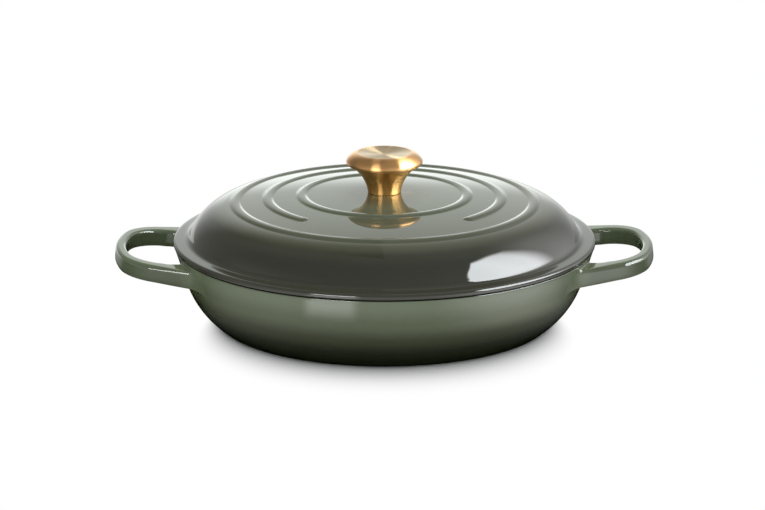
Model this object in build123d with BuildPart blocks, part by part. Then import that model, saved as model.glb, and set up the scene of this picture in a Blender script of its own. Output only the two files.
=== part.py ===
from build123d import *
import math
import os

# A round, shallow cast-iron casserole: a flared pan with two loop handles cast in one piece,
# a domed lid with three raised rings, and a knob of two metal parts held by one screw.
# Lengths are in millimetres and angles in degrees. The origin is on the table, on the axis
# of the round pan. +Z is up, +X runs through the handles and -Y is the front.

# Pan, outside
pan_height = 58.0                    # table to the flat top of the rim
pan_rim_radius = 154.2               # outside of the rim
pan_wall_flare = 17.9                # upper wall, from upright
pan_wall_drop = 25.5                 # rim down to where the straight upper wall runs into the bowl
pan_bowl_run = 24.5                  # how far the bowl curves in from there to the edge of the foot
pan_rim_rounding = 1.3
pan_foot_rounding = 1.5

# Pan, inside and underneath
pan_wall_thickness = 4.6
pan_floor_thickness = 5.4
pan_floor_corner_radius = 24.0
pan_foot_width = 10.0                # flat ring that the pan stands on
pan_foot_recess = 0.9                # how far the underside is raised inside that ring
pan_recess_rounding = 0.5

# Loop handles, drawn on a plane that climbs away from the pan
handle_projection = 44.5             # rim to tip, along the climbing plane
handle_climb = 6.1                   # angle of that plane
handle_top_drop = 3.5                # rim down to the handle's top face, level with the wall
handle_thickness = 12.8              # top face to bottom face
handle_limb_spread = 14.9            # angle between each limb's outer side and the X axis
handle_limb_taper = 1.4              # by how much less its finger side spreads
handle_half_width = 55.5             # X axis to a limb's outer side, at the station below
handle_width_station = 15.8          # beyond the rim
handle_limb_thickness = 12.6         # outer side to finger side
handle_tip_thickness = 8.0
handle_tip_radius = 108.0            # plan radius of the outside of the tip
handle_corner_radius = 34.0
handle_corner_step = 7.0             # by how much smaller the finger side's corners are
handle_edge_rounding_share = 0.4125  # of the tip's thickness
handle_root_flare = 28.0             # plan radius where the outer sides run into the wall
finger_gap_root_share = 0.355        # plan radius of the finger gap's corners at the wall, of its depth
handle_root_fillet_share = 0.78      # of the wall between the handle's top face and the rim's rounding
handle_hub_cover = 1.0               # iron between the buried hub of the handles and the wall's outside
handle_hub_inset_share = 0.62        # start of that hub, as a share of its radius

# Lid, outside
lid_overhang = 0.8                   # flange beyond the rim
lid_flange_thickness = 4.6
lid_flange_slope = 5.0               # fall of the flange's top face towards its edge
lid_flange_width = 10.96             # edge to the foot of the lid's wall
lid_flange_root_fillet = 5.0
lid_apex_height = 38.6               # above the rim, before the knob's seat is flattened
lid_crown_radius = 820.0             # sphere of the low crown
lid_shoulder_radius = 40.0           # from the crown down to the flange

# Lid, rings on the crown
ring_place_shares = (0.541, 0.7625, 0.976)   # of the radius where the shoulder starts
ring_height = 1.3
ring_width = 8.2
ring_root_depth = 2.0                # how far a ring's section reaches into the wall
ring_foot_fillet = 1.5
middle_ring_gap = 44.4               # half of the bare arc at the front of the middle ring, an angle

# Lid, inside
lid_wall_thickness = 4.3
lid_lip_depth = 3.6                  # locating lip, below the rim's top
lid_lip_width = 4.4
lid_lip_clearance = 1.0
lid_lip_rounding = 1.2
lid_lug_depth = 2.8                  # small lugs under the lip
lid_lug_width = 9.0
lid_lug_thickness = 2.8
lid_lug_rounding = 1.0
lid_lug_count = 3
lid_boss_margin = 4.0                # boss beyond the flat washer
lid_boss_height = 1.6
lid_boss_rounding = 0.8

# Knob
knob_radius = 28.0
knob_base_radius = 12.1
knob_base_rounding = 0.7
knob_stem_height = 20.7
knob_flare_radius = 27.5             # hollow curve of the stem
knob_undercut = 2.2                  # top of the stem, inside the widest edge
knob_seam_overhang = 0.5             # cap's lower edge beyond the stem's
knob_underside_rise = 3.2            # stem's top to the widest edge
knob_underside_bulge = 0.7
knob_edge_rounding = 1.0             # widest edge
knob_shoulder_rise = 5.9             # widest edge to the crest around the dish
knob_shoulder_run = 8.1
knob_shoulder_bulge = 1.2
knob_crest_rounding = 0.6
knob_dish_depth = 1.5
knob_spigot_radius = 9.0
knob_spigot_length = 3.0
knob_spigot_clearance = 0.05

# Screw, its bush and washers
screw_radius = 3.0
screw_engagement = 9.4               # length inside the knob
screw_head_overhang = 3.0            # head beyond the shank
screw_head_height = 3.4
screw_head_rounding = 1.1
screw_slot_width = 1.6
screw_slot_depth = 1.5
screw_tip_chamfer = 0.6
bush_wall = 2.0
bush_spare = 3.6                     # bush beyond the screw's tip, less its own recess
bush_recess = 0.5                    # bush starts this far above the stem's base
thread_clearance = 0.06
bush_clearance = 0.03
lid_hole_clearance = 0.4
washer_clearance = 0.2
flat_washer_overhang = 3.0           # flat washer beyond the screw's head
flat_washer_thickness = 1.2
spring_washer_inset = 0.6            # spring washer inside the head's edge
spring_washer_thickness = 1.6
spring_washer_gap = 0.9

# Heights of the stack, from the table up
lid_apex_z = pan_height + lid_apex_height
knob_seat_radius = knob_base_radius + lid_hole_clearance
knob_seat_z = lid_apex_z - lid_crown_radius + math.sqrt(lid_crown_radius**2 - knob_seat_radius**2)
knob_split_z = knob_seat_z + knob_stem_height
lid_boss_z = lid_apex_z - lid_wall_thickness - lid_boss_height
flat_washer_z = lid_boss_z - flat_washer_thickness
spring_washer_z = flat_washer_z - spring_washer_thickness
screw_head_radius = screw_radius + screw_head_overhang
screw_head_z = spring_washer_z - screw_head_height
screw_length = knob_seat_z + screw_engagement - spring_washer_z
bush_radius = screw_radius + bush_wall
bush_length = screw_engagement + bush_spare
flat_washer_radius = screw_head_radius + flat_washer_overhang
spring_washer_radius = screw_head_radius - spring_washer_inset

# The pan's wall is straight under the rim and turns into an arc that ends at the foot
wall_lean = math.radians(pan_wall_flare)
wall_down = (-math.sin(wall_lean), -math.cos(wall_lean))
wall_inwards = (-math.cos(wall_lean), math.sin(wall_lean))
bowl_start = (pan_rim_radius - pan_wall_drop * math.tan(wall_lean), pan_height - pan_wall_drop)
bowl_chord = (-pan_bowl_run, -bowl_start[1])
bowl_radius = (bowl_chord[0] ** 2 + bowl_chord[1] ** 2) / (
    2 * (bowl_chord[0] * wall_inwards[0] + bowl_chord[1] * wall_inwards[1])
)
bowl_centre = (bowl_start[0] + wall_inwards[0] * bowl_radius, bowl_start[1] + wall_inwards[1] * bowl_radius)
pan_base_radius = bowl_start[0] - pan_bowl_run

# The inside follows the outside at one wall thickness, down to the floor
inner_rim_radius = pan_rim_radius - pan_wall_thickness / math.cos(wall_lean)
inner_start = (
    bowl_start[0] + wall_inwards[0] * pan_wall_thickness,
    bowl_start[1] + wall_inwards[1] * pan_wall_thickness,
)
inner_bowl_radius = bowl_radius - pan_wall_thickness
floor_edge = (
    bowl_centre[0] + math.sqrt(inner_bowl_radius**2 - (pan_floor_thickness - bowl_centre[1]) ** 2),
    pan_floor_thickness,
)
above_rim = (
    inner_rim_radius + pan_wall_thickness * math.tan(wall_lean),
    pan_height + pan_wall_thickness,
)

# Handles are drawn on a plane that passes through the pan's axis and climbs to the tip
climb = math.radians(handle_climb)
handle_root_drop = handle_top_drop + handle_thickness / 2
handle_root_radius = pan_rim_radius - handle_root_drop * math.tan(wall_lean)
handle_plane = Plane(
    origin=(0, 0, pan_height - handle_root_drop - handle_root_radius * math.tan(climb)),
    x_dir=(math.cos(climb), 0, math.sin(climb)),
    z_dir=(-math.sin(climb), 0, math.cos(climb)),
)
handle_reach = pan_rim_radius + handle_projection
handle_limb_station = pan_rim_radius + handle_width_station
handle_edge_rounding = handle_edge_rounding_share * handle_tip_thickness
handle_root_fillet = handle_root_fillet_share * (handle_top_drop - pan_rim_rounding)
handle_hub_radius = handle_root_radius - handle_thickness * math.tan(wall_lean) + handle_hub_cover
handle_hub_inset = handle_hub_inset_share * handle_hub_radius
limb_spread = math.tan(math.radians(handle_limb_spread))
gap_spread = math.tan(math.radians(handle_limb_spread - handle_limb_taper))
limb_inner_width = handle_half_width - handle_limb_thickness * math.sqrt(1 + limb_spread**2)
gap_reach = handle_reach - handle_tip_thickness
gap_root_radius = finger_gap_root_share * (gap_reach - handle_hub_radius)
gap_tip_radius = handle_tip_radius - handle_tip_thickness
gap_corner_radius = handle_corner_radius - handle_corner_step


def limb_point(station, outer):
    """Point on a limb's outer or finger side at this distance from the pan's axis."""
    back = handle_limb_station - station
    if outer:
        return (station, handle_half_width + back * limb_spread)
    return (station, limb_inner_width + back * gap_spread)


def corner_on_tip(reach, tip_radius, outer):
    """Where a limb's side meets the arc of the tip, by stepping along the side."""
    station = reach
    for _ in range(60):
        width = limb_point(station, outer)[1]
        station = reach - tip_radius + math.sqrt(tip_radius**2 - width**2)
    return limb_point(station, outer)


outer_corner = corner_on_tip(handle_reach, handle_tip_radius, True)
outer_root = limb_point(handle_hub_inset, True)
gap_corner = corner_on_tip(gap_reach, gap_tip_radius, False)
gap_root = limb_point(handle_hub_inset, False)

with BuildPart() as handle_loop:
    with BuildSketch(handle_plane) as handle_outline:
        with BuildLine():
            ThreePointArc((outer_corner[0], -outer_corner[1]), (handle_reach, 0), outer_corner)
            Line(outer_corner, outer_root)
            Line(outer_root, (outer_root[0], -outer_root[1]))
            Line((outer_root[0], -outer_root[1]), (outer_corner[0], -outer_corner[1]))
        make_face()
        fillet(handle_outline.vertices().sort_by(Axis.X)[-2:], radius=handle_corner_radius)
        with BuildSketch(mode=Mode.PRIVATE) as finger_gap:
            with BuildLine():
                ThreePointArc((gap_corner[0], -gap_corner[1]), (gap_reach, 0), gap_corner)
                Line(gap_corner, gap_root)
                Line(gap_root, (gap_root[0], -gap_root[1]))
                Line((gap_root[0], -gap_root[1]), (gap_corner[0], -gap_corner[1]))
            make_face()
            Circle(handle_hub_radius, mode=Mode.SUBTRACT)
            fillet(finger_gap.vertices().sort_by(Axis.X)[-2:], radius=gap_corner_radius)
            fillet(finger_gap.vertices().sort_by(Axis.X)[:2], radius=gap_root_radius)
        add(finger_gap.sketch, mode=Mode.SUBTRACT)
        with BuildSketch(mode=Mode.PRIVATE) as hub:
            Circle(handle_hub_radius)
            with Locations((handle_hub_inset, 0)):
                Rectangle(
                    handle_hub_radius,
                    2 * handle_hub_radius,
                    align=(Align.MIN, Align.CENTER),
                    mode=Mode.INTERSECT,
                )
        add(hub.sketch)
        fillet(handle_outline.vertices().sort_by(Axis.X)[2:4], radius=handle_root_flare)
        fillet(handle_outline.vertices().sort_by(Axis.X)[:2], radius=1.5 * handle_edge_rounding)
    extrude(amount=handle_thickness / 2, both=True)
    handle_faces = handle_loop.faces().filter_by(handle_plane)
    fillet(handle_faces.edges(), radius=handle_edge_rounding)

# The cavity is cut last, so that it also trims the buried ends of the handles
with BuildPart() as pan_body:
    with BuildSketch(Plane.XZ):
        with BuildLine():
            Line((0, pan_height), (pan_rim_radius, pan_height))
            Line((pan_rim_radius, pan_height), bowl_start)
            TangentArc(bowl_start, (pan_base_radius, 0), tangent=wall_down)
            Line((pan_base_radius, 0), (0, 0))
            Line((0, 0), (0, pan_height))
        make_face()
    revolve(axis=Axis.Z)
    add(handle_loop.part)
    fillet(pan_body.edges(Select.NEW), radius=handle_root_fillet)
    mirror(handle_loop.part, about=Plane.YZ)
    fillet(pan_body.edges(Select.NEW), radius=handle_root_fillet)
    with BuildSketch(Plane.XZ) as cavity:
        with BuildLine():
            Line((0, above_rim[1]), above_rim)
            Line(above_rim, inner_start)
            TangentArc(inner_start, floor_edge, tangent=wall_down)
            Line(floor_edge, (0, pan_floor_thickness))
            Line((0, pan_floor_thickness), (0, above_rim[1]))
        make_face()
        fillet(cavity.vertices().group_by(Axis.Y)[0].sort_by(Axis.X)[-1], radius=pan_floor_corner_radius)
    revolve(axis=Axis.Z, mode=Mode.SUBTRACT)
    fillet(pan_body.faces().filter_by(Axis.Z).sort_by(Axis.Z)[-1].edges(), radius=pan_rim_rounding)
    fillet(pan_body.faces().sort_by(Axis.Z)[0].edges(), radius=pan_foot_rounding)
    with BuildSketch(Plane.XY):
        Circle(pan_base_radius - pan_foot_width)
    extrude(amount=pan_foot_recess, mode=Mode.SUBTRACT)
    fillet(pan_body.faces().sort_by(Axis.Z)[0].inner_wires()[0].edges(), radius=pan_recess_rounding)
pan_body.part.label = "pan_body"

# The flange's top rises from its rounded edge to the foot of the lid's wall
lid_flange_radius = pan_rim_radius + lid_overhang
flange_rounding = lid_flange_thickness / 2
flange_edge = (lid_flange_radius - flange_rounding, pan_height + lid_flange_thickness)
flange_root = (
    lid_flange_radius - lid_flange_width,
    flange_edge[1] + (lid_flange_width - flange_rounding) * math.tan(math.radians(lid_flange_slope)),
)

# The crown is part of a large sphere. The shoulder is an arc tangent to it that ends at the
# flange's root, so its centre is where two circles cross, one about each.
crown_centre = (0, lid_apex_z - lid_crown_radius)
shoulder_reach = lid_crown_radius - lid_shoulder_radius
root_rise = flange_root[1] - crown_centre[1]
root_distance = math.hypot(flange_root[0], root_rise)
along = (shoulder_reach**2 - lid_shoulder_radius**2 + root_distance**2) / (2 * root_distance)
across = math.sqrt(shoulder_reach**2 - along**2)
shoulder_centre = (
    (along * flange_root[0] - across * root_rise) / root_distance,
    crown_centre[1] + (along * root_rise + across * flange_root[0]) / root_distance,
)
shoulder_tilt = math.atan2(shoulder_centre[0], shoulder_centre[1] - crown_centre[1])
inner_crown_radius = lid_crown_radius - lid_wall_thickness
inner_shoulder_radius = lid_shoulder_radius - lid_wall_thickness


def on_circle(centre, radius, tilt):
    """Point of a circle in the profile plane, tilt being the slope of the surface there."""
    return (centre[0] + radius * math.sin(tilt), centre[1] + radius * math.cos(tilt))


def on_crown(station, radius):
    """Point of the crown at this distance from the axis, for either side of the wall."""
    return (station, crown_centre[1] + math.sqrt(radius**2 - station**2))


def downhill(tilt):
    """Direction in the profile plane that runs outwards and down along this slope."""
    return (math.cos(tilt), -math.sin(tilt))


shoulder_start = on_circle(crown_centre, lid_crown_radius, shoulder_tilt)
inner_shoulder_start = on_circle(crown_centre, inner_crown_radius, shoulder_tilt)

# The hollow shoulder ends level with the flange's top, and the locating lip hangs inside the rim
hollow_tilt = math.acos((flange_edge[1] - shoulder_centre[1]) / inner_shoulder_radius)
hollow_end = on_circle(shoulder_centre, inner_shoulder_radius, hollow_tilt)
lip_z = pan_height - lid_lip_depth
lug_z = lip_z - lid_lug_depth
lip_radius = inner_rim_radius - lid_lip_depth * math.tan(wall_lean) - lid_lip_clearance
lug_radius = inner_rim_radius - (pan_height - lug_z) * math.tan(wall_lean) - lid_lip_clearance
lip_inner_radius = lip_radius - lid_lip_width
boss_corner = (flat_washer_radius + lid_boss_margin, lid_boss_z)

# A ring's section is a segment of a circle that stands on the crown and reaches into the wall
ring_section_radius = (ring_width**2 / 4 + ring_height**2) / (2 * ring_height)
ring_segment_height = ring_height + ring_root_depth
ring_segment_half = math.sqrt(2 * ring_section_radius * ring_segment_height - ring_segment_height**2)


def ring_section(station):
    """Inner foot, crest, outer foot and chord middle of a ring, and the tilt it stands at."""
    tilt = math.asin(station / lid_crown_radius)
    crest = on_circle(crown_centre, lid_crown_radius + ring_height, tilt)
    middle = on_circle(crown_centre, lid_crown_radius - ring_root_depth, tilt)
    across = (ring_segment_half * math.cos(tilt), -ring_segment_half * math.sin(tilt))
    inner_foot = (middle[0] - across[0], middle[1] - across[1])
    outer_foot = (middle[0] + across[0], middle[1] + across[1])
    return inner_foot, crest, outer_foot, middle, tilt


def profile_plane(azimuth):
    """Upright plane through the axis, with its X pointing outwards at this azimuth."""
    turn = math.radians(azimuth)
    return Plane(
        origin=(0, 0, 0),
        x_dir=(math.cos(turn), math.sin(turn), 0),
        z_dir=(math.sin(turn), -math.cos(turn), 0),
    )


inner_ring_radius, middle_ring_radius, outer_ring_radius = [
    share * shoulder_start[0] for share in ring_place_shares
]
middle_ring_start = profile_plane(middle_ring_gap - 90)

with BuildPart() as ring_end:
    foot, crest, _, middle, tilt = ring_section(middle_ring_radius)
    with BuildSketch(middle_ring_start):
        with BuildLine():
            RadiusArc(foot, crest, ring_section_radius)
            Line(crest, middle)
            Line(middle, foot)
        make_face()
    upright = middle_ring_start.from_local_coords(Vector(math.sin(tilt), math.cos(tilt)))
    revolve(axis=Axis(middle_ring_start.from_local_coords(Vector(*middle)), upright))

with BuildPart() as middle_ring:
    foot, crest, far_foot, _, _ = ring_section(middle_ring_radius)
    with BuildSketch(middle_ring_start):
        with BuildLine():
            ThreePointArc(foot, crest, far_foot)
            Line(far_foot, foot)
        make_face()
    revolve(axis=Axis.Z, revolution_arc=360 - 2 * middle_ring_gap)
    add(ring_end.part)
    mirror(ring_end.part, about=Plane.YZ)

with BuildPart() as lid:
    with BuildSketch(Plane.XZ) as lid_section:
        with BuildLine():
            Line((0, lid_boss_z), (0, knob_seat_z))
            Line((0, knob_seat_z), (knob_seat_radius, knob_seat_z))
            TangentArc(
                on_crown(knob_seat_radius, lid_crown_radius),
                shoulder_start,
                tangent=downhill(math.asin(knob_seat_radius / lid_crown_radius)),
            )
            TangentArc(shoulder_start, flange_root, tangent=downhill(shoulder_tilt))
            Line(flange_root, flange_edge)
            ThreePointArc(
                flange_edge,
                (lid_flange_radius, pan_height + flange_rounding),
                (flange_edge[0], pan_height),
            )
            Line((flange_edge[0], pan_height), (lip_radius, pan_height))
            Line((lip_radius, pan_height), (lip_radius, lip_z))
            Line((lip_radius, lip_z), (lip_inner_radius, lip_z))
            Line((lip_inner_radius, lip_z), hollow_end)
            ThreePointArc(
                hollow_end,
                on_circle(shoulder_centre, inner_shoulder_radius, (hollow_tilt + shoulder_tilt) / 2),
                inner_shoulder_start,
            )
            TangentArc(
                inner_shoulder_start,
                on_crown(boss_corner[0], inner_crown_radius),
                tangent=(-math.cos(shoulder_tilt), math.sin(shoulder_tilt)),
            )
            Line(on_crown(boss_corner[0], inner_crown_radius), boss_corner)
            Line(boss_corner, (0, lid_boss_z))
        make_face()
        fillet(lid_section.vertices().sort_by_distance(flange_root)[0], radius=lid_flange_root_fillet)
        fillet(lid_section.vertices().sort_by(Axis.Y)[:2], radius=lid_lip_rounding)
        fillet(lid_section.vertices().sort_by_distance(boss_corner)[0], radius=lid_boss_rounding)
    revolve(axis=Axis.Z)
    for station in (inner_ring_radius, outer_ring_radius):
        foot, crest, far_foot, _, _ = ring_section(station)
        with BuildSketch(Plane.XZ):
            with BuildLine():
                ThreePointArc(foot, crest, far_foot)
                Line(far_foot, foot)
            make_face()
        revolve(axis=Axis.Z)
        fillet(lid.edges(Select.NEW), radius=ring_foot_fillet)
    add(middle_ring.part)
    fillet(lid.edges(Select.NEW), radius=ring_foot_fillet)
    with BuildSketch(Plane.XY.offset(pan_height)) as lugs:
        with PolarLocations(lug_radius - lid_lug_thickness / 2, lid_lug_count, start_angle=90):
            Rectangle(lid_lug_thickness, lid_lug_width)
        fillet(lugs.vertices(), radius=lid_lug_rounding)
    extrude(amount=lug_z - pan_height)
    with BuildSketch(Plane.XY.offset(knob_seat_z)):
        Circle(screw_radius + lid_hole_clearance)
    extrude(amount=lid_boss_z - knob_seat_z, mode=Mode.SUBTRACT)
lid.part.label = "lid"

# The knob's stem sweeps out in a hollow curve, and its cap bulges over it with a dish on top
stem_foot = (knob_base_radius, knob_seat_z)
stem_top = (knob_radius - knob_undercut, knob_split_z)
cap_foot = (stem_top[0] + knob_seam_overhang, knob_split_z)
cap_edge = (knob_radius, knob_split_z + knob_underside_rise)
cap_crest = (knob_radius - knob_shoulder_run, cap_edge[1] + knob_shoulder_rise)
dish_z = cap_crest[1] - knob_dish_depth
spigot_z = knob_split_z - knob_spigot_length
socket_z = spigot_z - knob_spigot_clearance

with BuildPart() as knob_stem:
    with BuildSketch(Plane.XZ) as stem_section:
        with BuildLine():
            Line((0, knob_seat_z), stem_foot)
            RadiusArc(stem_foot, stem_top, knob_flare_radius)
            Line(stem_top, (0, knob_split_z))
            Line((0, knob_split_z), (0, knob_seat_z))
        make_face()
        fillet(stem_section.vertices().sort_by_distance(stem_foot)[0], radius=knob_base_rounding)
    revolve(axis=Axis.Z)
    with BuildSketch(Plane.XY.offset(knob_seat_z)):
        Circle(bush_radius + bush_clearance)
    extrude(amount=bush_recess + bush_length, mode=Mode.SUBTRACT)
    with BuildSketch(Plane.XY.offset(socket_z)):
        Circle(knob_spigot_radius + knob_spigot_clearance)
    extrude(amount=knob_split_z - socket_z, mode=Mode.SUBTRACT)
knob_stem.part.label = "knob_stem"

with BuildPart() as knob_cap:
    with BuildSketch(Plane.XZ) as cap_section:
        with BuildLine():
            Line((0, spigot_z), (knob_spigot_radius, spigot_z))
            Line((knob_spigot_radius, spigot_z), (knob_spigot_radius, knob_split_z))
            Line((knob_spigot_radius, knob_split_z), cap_foot)
            SagittaArc(cap_foot, cap_edge, -knob_underside_bulge)
            SagittaArc(cap_edge, cap_crest, -knob_shoulder_bulge)
            TangentArc((0, dish_z), cap_crest, tangent=(1, 0))
            Line((0, dish_z), (0, spigot_z))
        make_face()
        fillet(cap_section.vertices().sort_by_distance(cap_edge)[0], radius=knob_edge_rounding)
        fillet(cap_section.vertices().sort_by_distance(cap_crest)[0], radius=knob_crest_rounding)
    revolve(axis=Axis.Z)
knob_cap.part.label = "knob_cap"

# The screw comes up through the lid into the bush, its slotted head in the hollow of the lid
with BuildPart() as knob_insert:
    with BuildSketch(Plane.XY.offset(knob_seat_z + bush_recess)):
        Circle(bush_radius)
        Circle(screw_radius + thread_clearance, mode=Mode.SUBTRACT)
    extrude(amount=bush_length)
knob_insert.part.label = "knob_insert"

with BuildPart() as knob_screw:
    with BuildSketch(Plane.XY.offset(screw_head_z)):
        Circle(screw_head_radius)
    extrude(amount=screw_head_height)
    fillet(knob_screw.faces().sort_by(Axis.Z)[0].edges(), radius=screw_head_rounding)
    with BuildSketch(Plane.XY.offset(screw_head_z)):
        Rectangle(2 * screw_head_radius, screw_slot_width)
    extrude(amount=screw_slot_depth, mode=Mode.SUBTRACT)
    with BuildSketch(Plane.XY.offset(spring_washer_z)):
        Circle(screw_radius)
    extrude(amount=screw_length)
    chamfer(knob_screw.faces().sort_by(Axis.Z)[-1].edges(), length=screw_tip_chamfer)
knob_screw.part.label = "knob_screw"

with BuildPart() as flat_washer:
    with BuildSketch(Plane.XY.offset(flat_washer_z)):
        Circle(flat_washer_radius)
        Circle(screw_radius + washer_clearance, mode=Mode.SUBTRACT)
    extrude(amount=flat_washer_thickness)
flat_washer.part.label = "flat_washer"

with BuildPart() as spring_washer:
    with BuildSketch(Plane.XY.offset(spring_washer_z)):
        Circle(spring_washer_radius)
        Circle(screw_radius + washer_clearance, mode=Mode.SUBTRACT)
        with Locations((spring_washer_radius, 0)):
            Rectangle(spring_washer_radius, spring_washer_gap, mode=Mode.SUBTRACT)
    extrude(amount=spring_washer_thickness)
spring_washer.part.label = "spring_washer"

os.makedirs("parts", exist_ok=True)
export_step(pan_body.part, "parts/pan_body.step")
export_step(lid.part, "parts/lid.step")
export_step(knob_cap.part, "parts/knob_cap.step")
export_step(knob_stem.part, "parts/knob_stem.step")
export_step(knob_insert.part, "parts/knob_insert.step")
export_step(knob_screw.part, "parts/knob_screw.step")
export_step(flat_washer.part, "parts/flat_washer.step")
export_step(spring_washer.part, "parts/spring_washer.step")
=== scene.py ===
# %% [markdown]
# # A shallow cast-iron casserole with its lid
# Two iron castings, the pan and the lid, are covered in glossy green enamel, and the lid carries
# a turned brass knob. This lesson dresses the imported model: round pieces are profiles carried
# round the axis, the handles a section carried along a loop, and the finishes node materials.
# The frame comes first, because it places every piece.

from functools import partialmethod

import bpy
import numpy as np
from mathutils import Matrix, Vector


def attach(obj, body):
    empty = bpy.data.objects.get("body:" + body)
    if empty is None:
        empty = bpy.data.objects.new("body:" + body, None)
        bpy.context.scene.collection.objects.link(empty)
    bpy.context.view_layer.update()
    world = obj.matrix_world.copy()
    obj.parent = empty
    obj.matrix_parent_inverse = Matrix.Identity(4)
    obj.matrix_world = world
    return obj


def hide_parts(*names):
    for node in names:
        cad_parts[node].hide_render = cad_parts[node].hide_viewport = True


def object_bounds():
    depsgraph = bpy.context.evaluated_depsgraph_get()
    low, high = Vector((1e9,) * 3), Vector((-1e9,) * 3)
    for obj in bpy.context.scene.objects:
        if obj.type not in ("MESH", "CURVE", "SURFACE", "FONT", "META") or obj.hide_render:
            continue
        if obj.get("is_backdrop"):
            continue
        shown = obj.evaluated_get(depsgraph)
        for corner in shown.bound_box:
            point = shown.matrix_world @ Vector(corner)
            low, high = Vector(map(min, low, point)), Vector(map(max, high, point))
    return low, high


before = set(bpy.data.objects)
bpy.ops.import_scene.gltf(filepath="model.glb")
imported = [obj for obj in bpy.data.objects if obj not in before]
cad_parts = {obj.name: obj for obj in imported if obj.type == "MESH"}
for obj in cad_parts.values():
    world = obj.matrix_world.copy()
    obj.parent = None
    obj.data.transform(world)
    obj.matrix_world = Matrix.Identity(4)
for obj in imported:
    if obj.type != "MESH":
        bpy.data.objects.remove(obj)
cad_low, cad_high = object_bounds()
print("CAD box, metres:", [round(v, 4) for v in (*cad_low, *cad_high)])

# %% [markdown]
# ## Lines in the profile plane
# A pot is drawn as half of its cross-section. That could be a smooth curve edited by hand. Here
# it is a chain of straight lines and arcs, as on a pattern maker's drawing, because each arc
# keeps its real radius.

# %% Straight lines and arcs
mm = 0.001


def straight(start, end, count):
    """Points on the straight line from start to end, evenly spaced."""
    share = np.linspace(0, 1, count)[:, None]
    return (1 - share) * np.array(start) + share * np.array(end)


def straights(corners, counts):
    """Straight lines from each corner to the next, with these counts of points."""
    return [straight(*line) for line in zip(corners, corners[1:], counts)]


def arc(start, end, centre, count, ease=1.0):
    """Points of the circle about centre from start to end, the shorter way round.
    The turned angle grows as the share of the way to the power ease."""
    first = np.arctan2(start[1] - centre[1], start[0] - centre[0])
    last = np.arctan2(end[1] - centre[1], end[0] - centre[0])
    turn = (last - first + np.pi) % (2 * np.pi) - np.pi
    angle = first + turn * np.linspace(0, 1, count) ** ease
    radius = np.hypot(start[0] - centre[0], start[1] - centre[1])
    return np.array(centre) + radius * np.stack([np.cos(angle), np.sin(angle)], axis=1)


def bulge(start, end, height, count):
    """Arc from start to end whose middle stands this height to the right of the straight way."""
    start, end = np.array(start), np.array(end)
    way = end - start
    chord = np.hypot(*way)
    right = np.array([way[1], -way[0]]) / chord
    radius = (chord**2 / 4 + height**2) / (2 * height)
    return arc(start, end, (start + end) / 2 + right * (height - radius), count)


print("a bulge of 1 over a chord of 10 has its middle at", bulge((0, 0), (10, 0), 1, 3)[1])

# %% [markdown]
# ## Rounded corners
# No corner of an enamelled casting is sharp. A Bevel modifier could round the mesh, but it can't
# easily give each corner its own radius. So each corner is left out of the profile and bridged
# by a cubic curve that leaves and arrives in its neighbours' directions.

# %% Joining lines with rounded corners
bridge_count = 7


def shortened(points, head, tail):
    """The same line without its first and last stretch, whose lengths are head and tail."""
    steps = np.hypot(*np.diff(points, axis=0).T)
    along = np.concatenate([[0], np.cumsum(steps)])
    last = along[-1] - tail
    kept = along[(along > head + steps.min() / 4) & (along < last - steps.min() / 4)]
    at = np.concatenate([[head], kept, [last]])
    return np.stack([np.interp(at, along, points[:, k]) for k in (0, 1)], axis=1)


def direction(points):
    """Unit vector along the first step of a line."""
    step = points[1] - points[0]
    return step / np.hypot(*step)


def joined(pieces, roundings, closed=False):
    """One line from several, rounding[i] being the radius of the corner after piece i.
    The second result is each point's place: whole numbers count the pieces, and a place
    between two of them lies in the rounded corner that joins them."""
    count = len(pieces)
    corners = range(count if closed else count - 1)
    trims, turns = np.zeros(count), np.zeros(count)
    for i in corners:
        came, goes = -direction(pieces[i][::-1]), direction(pieces[(i + 1) % count])
        turns[i] = np.arccos(np.clip(came @ goes, -1, 1))
        trims[i] = roundings[i] * np.tan(turns[i] / 2)
    heads = [trims[i - 1] if closed or i else 0 for i in range(count)]
    short = [shortened(p, heads[i], trims[i]) for i, p in enumerate(pieces)]
    points, places = [], []
    for i in range(count):
        line = short[i][:-1] if i in corners else short[i]
        points.append(line)
        places.append(np.full(len(line), i))
        if i in corners and roundings[i] > 0:
            before, after = short[i], short[(i + 1) % count]
            start, end = before[-1], after[0]
            out, into = -direction(before[::-1]), direction(after)
            reach = 4 / 3 * np.tan(turns[i] / 4) * roundings[i]
            t = np.linspace(0, 1, bridge_count)[:-1, None]
            points.append(
                (1 - t) ** 3 * start
                + 3 * (1 - t) ** 2 * t * (start + reach * out)
                + 3 * (1 - t) * t**2 * (end - reach * into)
                + t**3 * end
            )
            places.append(i + t[:, 0])
    return np.concatenate(points), np.concatenate(places).astype(float)


print("a rounded corner has", bridge_count, "points")

# %% [markdown]
# ## From a grid of points to a mesh
# Every piece is a grid: rows along the profile and columns round the axis or a section, where
# it closes on itself. Its rows close too, as on a lid with a hole through it, or end in poles,
# where a whole row is one vertex.

# %% Meshes from grids
def in_scene(name, data):
    """Object with this mesh, camera or light, linked to the scene."""
    thing = bpy.data.objects.new(name, data)
    bpy.context.scene.collection.objects.link(thing)
    return thing


def new_piece(name, vertices, faces):
    """Object whose smooth mesh has these vertices and faces."""
    mesh = bpy.data.meshes.new(name)
    mesh.from_pydata(vertices.tolist(), [], faces, shade_flat=False)
    return in_scene(name, mesh)


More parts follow.
